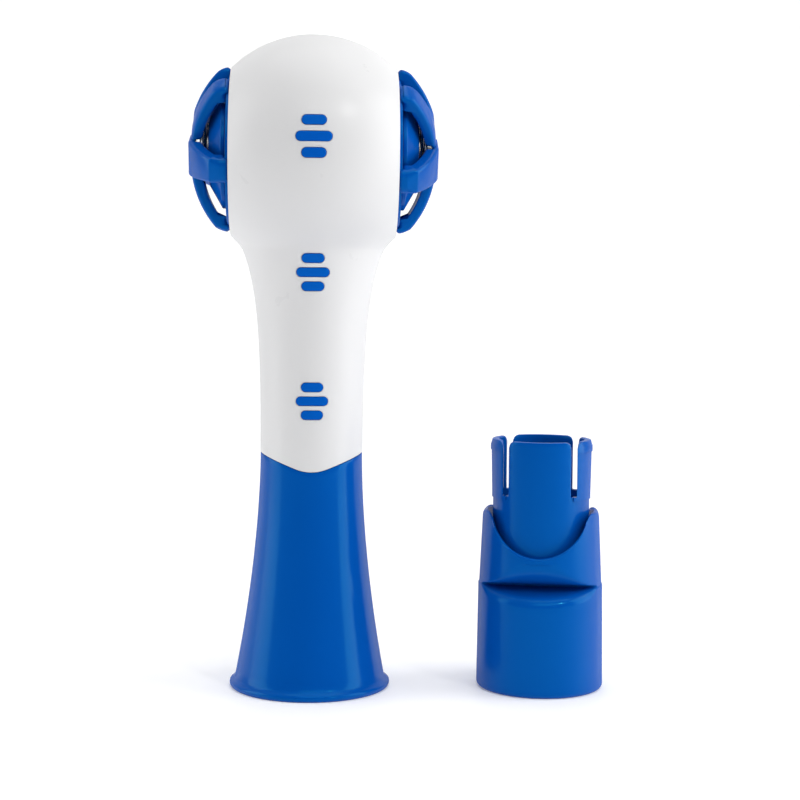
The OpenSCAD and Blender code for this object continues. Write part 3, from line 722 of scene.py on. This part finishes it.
def oval(a):
    """Polar radius of the flat oval passage, 19 by 8."""
    c, s = abs(math.cos(a)), abs(math.sin(a))
    if s > 1e-6 and PASSAGE_HALF * c / s <= PASSAGE_FLAT:
        return PASSAGE_HALF / s
    return PASSAGE_FLAT * c + math.sqrt(PASSAGE_HALF ** 2 - (PASSAGE_FLAT * s) ** 2)


def collar_radius(z):
    return lerp(COLLAR_FOOT_R, COLLAR_TOP_R, (z - SHELF_Z) / 15.7)


def scoop_height(x):
    """Top of the collar: a round trough from front to back between two flat horns."""
    dip = SCOOP_Z - math.sqrt(SCOOP_R ** 2 - x * x) if abs(x) < SCOOP_R else SCOOP_Z
    from_middle = min(HORN_ROUND, abs(abs(x) - HORN_X))
    return soft_min(dip, HORN_Z + math.sqrt(HORN_ROUND ** 2 - from_middle ** 2), 0.3)


def collar():
    """Collar that flares out over the shelf and ends in two horns, with a bore for the tube."""
    work = Patchwork("horned_collar")
    angles = turns(240)
    foot, waist, floor = 24.12, 24.5, 30.6
    edge, bore_edge = 0.35, 0.18
    rows = []

    def add(radius, height):
        rows.append([polar(radius(a), a, height(a)) for a in angles])

    def shoulder(a, y, z):
        return soft_min(collar_radius(z), y / max(1e-3, abs(math.sin(a))), 1.2)

    def rim(a, r):
        return scoop_height(r * math.cos(a))

    def flank(a, t):
        return lerp(30.04, rim(a, COLLAR_TOP_R) - edge, t)

    add(oval, lambda a: 23.7)
    add(lambda a: shoulder(a, SHELF_Y, SHELF_Z), lambda a: 23.7)
    add(lambda a: shoulder(a, SHELF_Y, 24.1), lambda a: foot)
    for i in range(1, 4):
        add(lambda a: shoulder(a, SHELF_Y + 0.03 * i * i, 24.2), lambda a: lerp(foot, 24.46, i / 3))
    for i in range(1, 19):
        t = math.radians(80 * i / 18)
        y, z = SHELF_Y + 8.6 * math.sin(t), waist + 6.7 * (1 - math.cos(t))
        add(lambda a: shoulder(a, y, z), lambda a: z)
    for i in range(1, 13):
        add(lambda a: collar_radius(flank(a, i / 12)), lambda a: flank(a, i / 12))
    for i in range(1, 7):
        t = math.radians(90 * i / 6)
        into, down = edge * (1 - math.cos(t)) * 0.9, edge * (1 - math.sin(t))
        add(lambda a: COLLAR_TOP_R - (0.0 if abs(math.cos(a)) > 0.78 else -0.12) - into,
            lambda a: rim(a, COLLAR_TOP_R - into) - down)
    for t in (0.0, 0.5, 1.0):
        add(lambda a: COLLAR_BORE + bore_edge * (1 - t), lambda a: rim(a, COLLAR_BORE) - bore_edge * t * t)
    for i in range(1, 9):
        add(lambda a: COLLAR_BORE, lambda a: lerp(rim(a, COLLAR_BORE) - bore_edge, 30.9, i / 8))
    for r, z in ((11.95, 30.66), (11.7, floor), (10.6, floor), (10.5, 31.2)):
        rows.append([polar(r, a, z) for a in angles])
    add(lambda a: oval(a) + 0.15, lambda a: 31.2)
    add(oval, lambda a: 31.05)
    rows.append(rows[0])
    work.grid(rows, ring=True)
    return work.sew(at_mouthpiece(), sharp=40)


TUBE_R, TUBE_BORE, TAB_TOP, SLOT_FOOT = 11.08, 9.83, 57.1, 44.6
SLOT_IN, SLOT_OUT, TAB_CORNER = 7.045, 8.395, 1.4
STEP_Z, STEP_R = 43.7, 11.33
BARB_Z, CREST_Z, BARB_R, TIP_R = 54.6, 55.85, 11.73, 11.23


def side_tab_radius(z):
    """The side tabs lean out a little and end in a barb with a lead-in."""
    if z < BARB_Z:
        return lerp(STEP_R, 11.53, max(0.0, (z - SLOT_FOOT) / 10.0))
    if z < CREST_Z:
        return BARB_R
    return lerp(BARB_R, TIP_R, (z - CREST_Z) / 1.25)


def tab_columns(half):
    """Shares of a tab's half width, dense near its edges, each with the tab's height there."""
    near = [1 - d / half for d in (0.0, 0.22, 0.5, 0.9, TAB_CORNER)]
    middle = [lerp(near[-1], -near[-1], i / 18) for i in range(1, 18)]
    for share in near + middle + [-v for v in near[::-1]]:
        inside = TAB_CORNER - min((1 - abs(share)) * half, TAB_CORNER)
        yield share, TAB_TOP - TAB_CORNER + math.sqrt(TAB_CORNER ** 2 - inside ** 2)


def snap_tube():
    """Tube with straight slots: two plain tabs front and back, two barbed tabs on the sides."""
    low = [lerp(30.3, STEP_Z, i / 8) for i in range(9)] + [STEP_Z + 0.02, SLOT_FOOT]
    half = math.sqrt(11.43 ** 2 - SLOT_OUT ** 2)
    columns = []

    def stepped(z):
        return TUBE_R if z < STEP_Z + 0.01 else max(STEP_R, side_tab_radius(z))

    def at_x(x, sign):
        return lambda r: (x, sign * math.sqrt(r * r - x * x))

    def on_side(share, sign):
        def place(r):
            y = share * math.sqrt(r * r - SLOT_OUT ** 2)
            return (sign * math.sqrt(r * r - y * y), y)
        return place

    for sign in (1, -1):
        for share, top in tab_columns(SLOT_IN):
            heights = low + [lerp(SLOT_FOOT, top, i / 14) for i in range(1, 15)]
            columns.append((at_x(sign * share * SLOT_IN, sign), heights, lambda z: TUBE_R))
        slot = [(0.48, lambda z: TUBE_R), (0.52, stepped)]
        for share, radius in slot:
            columns.append((at_x(-sign * lerp(SLOT_IN, SLOT_OUT, share), sign), low, radius))
        for share, top in tab_columns(half):
            heights = low + [46.0, 48.0, 50.0, 52.0, 53.6, 54.58, 54.62]
            heights += [lerp(54.9, top, t) for t in (0.4, 0.7, 1.0)]
            columns.append((on_side(sign * share, -sign), heights, stepped))
        for share, radius in slot[::-1]:
            columns.append((at_x(-sign * lerp(SLOT_IN, SLOT_OUT, share), -sign), low, radius))
    bm = bmesh.new()
    twin, made = {}, []
    for place, heights, radius in columns:
        line = []
        for z in heights:
            outer = bm.verts.new((*place(radius(z)), z))
            twin[outer] = bm.verts.new((*place(TUBE_BORE), z))
            line.append(outer)
        made.append(line)
    skin = []
    for line, following in zip(made, made[1:] + made[:1]):
        for k in range(min(len(line), len(following)) - 1):
            skin.append(bm.faces.new((line[k], following[k], following[k + 1], line[k + 1])))
    rim = [e for e in bm.edges if len(e.link_faces) == 1]
    for face in skin:
        bm.faces.new([twin[v] for v in reversed(face.verts)])
    walls = {bm.faces.new((e.verts[0], e.verts[1], twin[e.verts[1]], twin[e.verts[0]])) for e in rim}
    crisp = [e for e in bm.edges if len(walls.intersection(e.link_faces)) == 1
             and all(v.co.z > SLOT_FOOT + 0.5 for v in e.verts)]
    bmesh.ops.recalc_face_normals(bm, faces=bm.faces)
    bmesh.ops.bevel(bm, geom=crisp, offset=0.15, offset_type="OFFSET", segments=2, profile=0.5,
                    affect="EDGES", clamp_overlap=False)
    bmesh.ops.remove_doubles(bm, verts=bm.verts, dist=0.004)
    return make_piece("slotted_tube", bm, at_mouthpiece(), 35)


def mouth_cup():
    """Round cup whose top is a shelf that falls away to the front and the back."""
    work = Patchwork("shelved_mouth_cup")
    angles = turns(200)
    bore_top, foot_round = 14.0, 1.1
    rows = []

    def shelf(r, a):
        fall = math.tan(SHELF_SLOPE) * (abs(r * math.sin(a)) - SHELF_Y)
        return SHELF_Z - soft_max(fall, 0.0, 0.25)

    def edge(a):
        """Rounding of the shelf's edge, which fades out under the collar's flanks."""
        ahead = ramp(abs(SHELF_R * math.sin(a)), 5.0, 4.0)
        return lerp(0.35, 1.9, ahead * ahead * (3 - 2 * ahead))

    def add_on_shelf(radius, drop):
        rows.append([polar(radius(a), a, shelf(radius(a), a) - drop(a)) for a in angles])

    rows.append([polar(oval(a), a, bore_top) for a in angles])
    add_on_shelf(oval, lambda a: 0.05)
    for i in range(1, 9):
        add_on_shelf(lambda a: lerp(oval(a), SHELF_R - edge(a), i / 8), lambda a: 0.05 if i < 2 else 0.0)
    for i in range(1, 11):
        t = math.radians(9 * i)
        add_on_shelf(lambda a: SHELF_R - edge(a) * (1 - math.sin(t)), lambda a: edge(a) * (1 - math.cos(t)))
    for i in range(1, 13):
        t = i / 12
        rows.append([polar(lerp(SHELF_R, CUP_R, t), a, lerp(shelf(SHELF_R, a) - edge(a), foot_round, t))
                     for a in angles])
    inside = [(11.7, 0.0), (11.48, 0.08), (CAVITY_R, 0.3)]
    inside += [(CAVITY_R, lerp(0.3, 13.4, i / 5)) for i in range(1, 6)] + [(11.2, 13.85), (10.8, bore_top)]
    quarter = [math.radians(90 * i / 8) for i in range(1, 9)]
    foot = [(CUP_R - foot_round * (1 - math.cos(t)), foot_round * (1 - math.sin(t))) for t in quarter]
    rows += [circle(r, z, len(angles)) for r, z in foot + inside]
    rows.append(rows[0])
    work.grid(rows, ring=True)
    return work.sew(at_mouthpiece(), sharp=40)


# ---------------------------------------------------------------- finishes


def shader_group(name, ins, outs):
    group = bpy.data.node_groups.new(name, "ShaderNodeTree")
    for label, value in ins:
        socket = group.interface.new_socket(label, in_out="INPUT", socket_type="NodeSocketFloat")
        socket.default_value = value
    for label in outs:
        group.interface.new_socket(label, in_out="OUTPUT", socket_type="NodeSocketFloat")
    return group


def moulding_group():
    """Plastic from a mould: faint orange peel, slow cloudy tone, and the smudges of handling."""
    scales = [("peel scale", 900.0), ("cloud scale", 60.0), ("smudge scale", 140.0)]
    group = shader_group("moulded_surface", scales, ["peel", "cloud", "smudge"])
    w = Wires(group)
    given = w.add("NodeGroupInput").outputs
    place = w.add("ShaderNodeTexCoord").outputs["Object"]
    peel = w.add("ShaderNodeTexNoise", "orange peel", {
        "Vector": place, "Scale": given["peel scale"], "Detail": 3.0})
    cloud = w.add("ShaderNodeTexNoise", "cloud", {
        "Vector": place, "Scale": given["cloud scale"], "Detail": 2.0})
    smudge = w.add("ShaderNodeTexNoise", "smudge", {
        "Vector": place, "Scale": given["smudge scale"], "Detail": 4.0, "Distortion": 0.6})
    out = w.add("NodeGroupOutput")
    for label, source in (("peel", peel), ("cloud", cloud), ("smudge", smudge)):
        w.feed(out.inputs[label], source.outputs[0])
    return group


def new_material(name):
    material = bpy.data.materials.new(name)
    material.use_nodes = True
    return material, Wires(material.node_tree), material.node_tree.nodes["Principled BSDF"]


def wear(w, shader, tones, smudges, rough, relief):
    """Feeds a shader with clouded tone, smudged polish and a faint relief; returns the surface's node."""
    surface = w.add("ShaderNodeGroup", node_tree=SURFACE)
    mix = w.add("ShaderNodeMix", "tone", data_type="RGBA")
    w.feed(mix.inputs["Factor"], surface.outputs["cloud"])
    mix.inputs[6].default_value, mix.inputs[7].default_value = tones
    w.feed(shader.inputs["Base Color"], mix.outputs[2])
    span = w.add("ShaderNodeMapRange", "polish", {
        0: surface.outputs["smudge"], 1: smudges[0], 2: smudges[1], 3: rough[0], 4: rough[1]})
    w.feed(shader.inputs["Roughness"], span.outputs[0])
    label, strength, depth = relief
    bump = w.add("ShaderNodeBump", label, {
        "Height": surface.outputs["peel"], "Strength": strength, "Distance": depth})
    w.feed(shader.inputs["Normal"], bump.outputs[0])
    return surface


def plastic(name, tones, rough, peel, gleam=(1, 1, 1, 1)):
    """Moulded plastic whose gloss fades where the surface turns away."""
    material, w, shader = new_material(name)
    wear(w, shader, tones, (0.25, 0.75), rough, ("peel", peel, 0.0002))
    shader.inputs["Specular Tint"].default_value = gleam
    rim = w.add("ShaderNodeLayerWeight", "how far the surface turns away")
    gloss = w.add("ShaderNodeMapRange", "gloss", {
        0: rim.outputs["Facing"], 1: 0.3, 2: 0.8, 3: 0.27, 4: 0.004})
    w.feed(shader.inputs["Specular IOR Level"], gloss.outputs[0])
    return material


def drawn_steel():
    material, w, shader = new_material("drawn_steel")
    shader.inputs["Metallic"].default_value = 1.0
    tones = (0.52, 0.52, 0.51, 1), (0.72, 0.71, 0.69, 1)
    surface = wear(w, shader, tones, (0.3, 0.7), (0.16, 0.3), ("draw marks", 0.05, 0.0001))
    surface.inputs["peel scale"].default_value = 2600.0
    return material


# ---------------------------------------------------------------- assembly

SURFACE = moulding_group()
GLEAM = (0.06, 0.85, 1.0, 1)
BLUE_TONES = (0.0004, 0.078, 0.39, 1), (0.0006, 0.082, 0.405, 1)
WHITE_TONES = (0.72, 0.72, 0.725, 1), (0.73, 0.73, 0.735, 1)
PAD_TONES = (0.0004, 0.086, 0.48, 1), (0.0006, 0.094, 0.52, 1)
SEAL_TONES = (0.19, 0.19, 0.195, 1), (0.23, 0.23, 0.235, 1)
BLUE = plastic("blue_moulding", BLUE_TONES, (0.15, 0.19), 0.01, GLEAM)
WHITE = plastic("white_moulding", WHITE_TONES, (0.27, 0.31), 0.006)
PAD = plastic("soft_blue_pad", PAD_TONES, (0.34, 0.45), 0.03, GLEAM)
SEAL = plastic("grey_silicone", SEAL_TONES, (0.48, 0.6), 0.06)
STEEL = drawn_steel()


def fit(piece, body, finish, slot, *nodes):
    piece.data.materials.clear()
    piece.data.materials.append(finish)
    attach(piece, body)
    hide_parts(*nodes)


front, rear = white_shells()
pads = pad_tree()
# Height of the middle pad, lengths of the long and short pads, their width and their spacing
GROUPS = {"upper": (124.1, 7.9, 5.35, 2.15, 3.53), "middle": (95.0, 7.35, 5.05, 2.05, 3.12),
          "lower": (66.2, 7.15, 4.9, 2.03, 3.12)}
for row, group in GROUPS.items():
    pocket = pad_group("pocket", pads, WHITE, group, 0.1, -1.0, 2.0, 0)
    combine(front, pocket, "DIFFERENCE")
    trio = pad_group(row + "_pads", pads, PAD, group, 0.0, -0.88, 0.28, 0.22)
    fit(trio, "trainer", PAD, "body_blue", row + "_grip_pads")
fit(front, "trainer", WHITE, "shell_white", "front_shell")
fit(rear, "trainer", WHITE, "shell_white", "rear_shell")
fit(bell(), "trainer", BLUE, "body_blue", "base_bell")

coil = coil_tree()
for side in ("left", "right"):
    fit(cone_disc(side), side + "_valve", BLUE, "body_blue", side + "_valve_disc")
    # Painted shade: the blue ring stands in for the shadowed gap between each disc and the white head.
    fit(boss_shade_ring(side), "trainer", BLUE, "body_blue", "front_shell", "rear_shell")
    fit(pressed_cup(side), side + "_cup", STEEL, "spring_steel", side + "_spring_cup")
    fit(dial_cage(side), side + "_dial", BLUE, "body_blue", side + "_cage")
    spring = grow(coil, side + "_coil_spring", STEEL, turns=2.75, coil_radius=6.4 * MM,
                  wire_radius=0.32 * MM, length=3.95 * MM, steps=48)
    spring.data.transform(Matrix.Scale(MM, 4) @ on_valve(side) @ Matrix.Translation((0, 0, 21.975))
                          @ Matrix.Scale(1 / MM, 4))
    if side == "left":
        spring.data.flip_normals()
    fit(spring, "trainer", STEEL, "spring_steel", side + "_spring")

fit(collar(), "mouthpiece", BLUE, "body_blue", "snap_adapter")
fit(snap_tube(), "mouthpiece", BLUE, "body_blue", "snap_adapter")
fit(mouth_cup(), "mouthpiece", BLUE, "body_blue", "mouth_cup")

FINISHES = {"airway_tube": WHITE, "mouth_socket": BLUE, "socket_seal": SEAL, "adapter_seal": SEAL}
for side in ("left", "right"):
    FINISHES.update({side + "_valve_seat": BLUE, side + "_seat_gasket": SEAL, side + "_disc_seal": SEAL,
                     side + "_guide_pin": STEEL})
for name, finish in FINISHES.items():
    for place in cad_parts[name].material_slots:
        place.material = finish

# ---------------------------------------------------------------- studio


def studio_floor():
    """A sheet of pale paper that curves up into a backdrop. It glows with painted light: from a little behind
    the front edge, and more far behind, which lifts the shade round the trainer and brightens the backdrop.
    """
    work = Patchwork("floor")
    half_width, front, bend_y, bend, top = 1400, -900, 700, 400, 1800
    turn = [math.radians(a) for a in range(10, 91, 10)]
    profile = [(front, 0), (bend_y, 0)]
    profile += [(bend_y + bend * math.sin(a), bend * (1 - math.cos(a))) for a in turn]
    profile += [(bend_y + bend, top)]
    work.grid([[(x, y, z) for x in (-half_width, half_width)] for y, z in profile])
    floor = work.sew(gap=0.1, sharp=80)
    if floor.data.polygons[0].normal.z < 0:
        floor.data.flip_normals()
    material, w, shader = new_material("pale_paper_with_painted_glow")
    grain = w.add("ShaderNodeTexNoise", "paper", {"Scale": 300.0, "Detail": 3.0})
    span = w.add("ShaderNodeMapRange", "sheen", {0: grain.outputs[0], 3: 0.5, 4: 0.6})
    w.feed(shader.inputs["Roughness"], span.outputs[0])
    shader.inputs["Base Color"].default_value = (0.9, 0.9, 0.905, 1)
    shader.inputs["Specular IOR Level"].default_value = 0.3
    place = w.add("ShaderNodeSeparateXYZ", "place", {0: w.add("ShaderNodeTexCoord").outputs["Object"]})
    # Painted light: the paper glows, starting a little behind the front edge and rising far behind, which lifts
    # the shadows round the trainer.
    near = w.add("ShaderNodeMapRange", "lit from below, behind the front edge", {
        0: place.outputs[1], 1: -0.26, 2: -0.12, 4: 0.4})
    far = w.add("ShaderNodeMapRange", "brighter far behind", {0: place.outputs[1], 1: 0.2, 2: 0.8, 4: 0.6})
    painted_glow = w.add("ShaderNodeMath", "painted_glow", {0: near.outputs[0], 1: far.outputs[0]}, operation="ADD")
    w.feed(shader.inputs["Emission Color"], painted_glow.outputs[0])
    shader.inputs["Emission Strength"].default_value = 0.42
    floor.data.materials.append(material)


def softbox(name, where, aim, size, power):
    data = bpy.data.lights.new(name, "AREA")
    data.shape = "RECTANGLE"
    data.size, data.size_y = size
    data.energy = power
    lamp = put_in_scene(name, data)
    lamp.location = where
    lamp.rotation_euler = (Vector(aim) - Vector(where)).to_track_quat("-Z", "Y").to_euler()


studio_floor()
softbox("right_bank", (0.64, -0.1, 0.2), (0.0, 0, 0.08), (0.5, 0.9), 3.9)
softbox("left_bank", (-0.66, -0.02, 0.22), (0.0, 0, 0.08), (0.45, 0.8), 2.3)
softbox("overhead", (0.05, 0.02, 0.9), (0, 0, 0.05), (0.9, 0.7), 2.6)
softbox("front_fill", (0.08, -0.78, 0.74), (0.03, 0, 0.04), (0.6, 0.4), 1.7)
softbox("spark", (0.42, -0.55, 0.62), (0.02, 0, 0.08), (0.05, 0.14), 1.1)

world = bpy.data.worlds.new("white studio")
bpy.context.scene.world = world
world.use_nodes = True
w = Wires(world.node_tree)
sky = world.node_tree.nodes["Background"]
way = w.add("ShaderNodeTexCoord")
split = w.add("ShaderNodeSeparateXYZ", "direction", {0: way.outputs["Generated"]})
shade = w.add("ShaderNodeMapRange", "darker towards the front", {
    0: split.outputs[1], 1: -1.0, 2: -0.05, 3: 0.03, 4: 0.45})
w.feed(sky.inputs["Color"], shade.outputs[0])
sky.inputs["Strength"].default_value = 1.0
bpy.context.scene.view_settings.view_transform = "Standard"

PICTURE = 800  # pixels across
FOCAL = 1700  # the lens in pixels: 76.5 / 36 * 800
HORIZON = 128  # pixels from the picture's middle to eye level
EYE = (0, -0.391, 0.0949)
PAN, TILT, ROLL = -2.945, 1.5, 0.55

lens = bpy.data.cameras.new("camera")
lens.lens = 76.5
lens.sensor_width = 36
lens.shift_y = -(HORIZON - FOCAL * math.tan(math.radians(TILT))) / PICTURE + 0.0019
lens.clip_start = 0.01
camera = put_in_scene("camera", lens)
camera.matrix_world = (Matrix.Translation(EYE) @ Matrix.Rotation(math.radians(PAN), 4, "Z")
                       @ Matrix.Rotation(math.radians(90 - TILT), 4, "X")
                       @ Matrix.Rotation(math.radians(ROLL), 4, "Z"))
bpy.context.scene.camera = camera
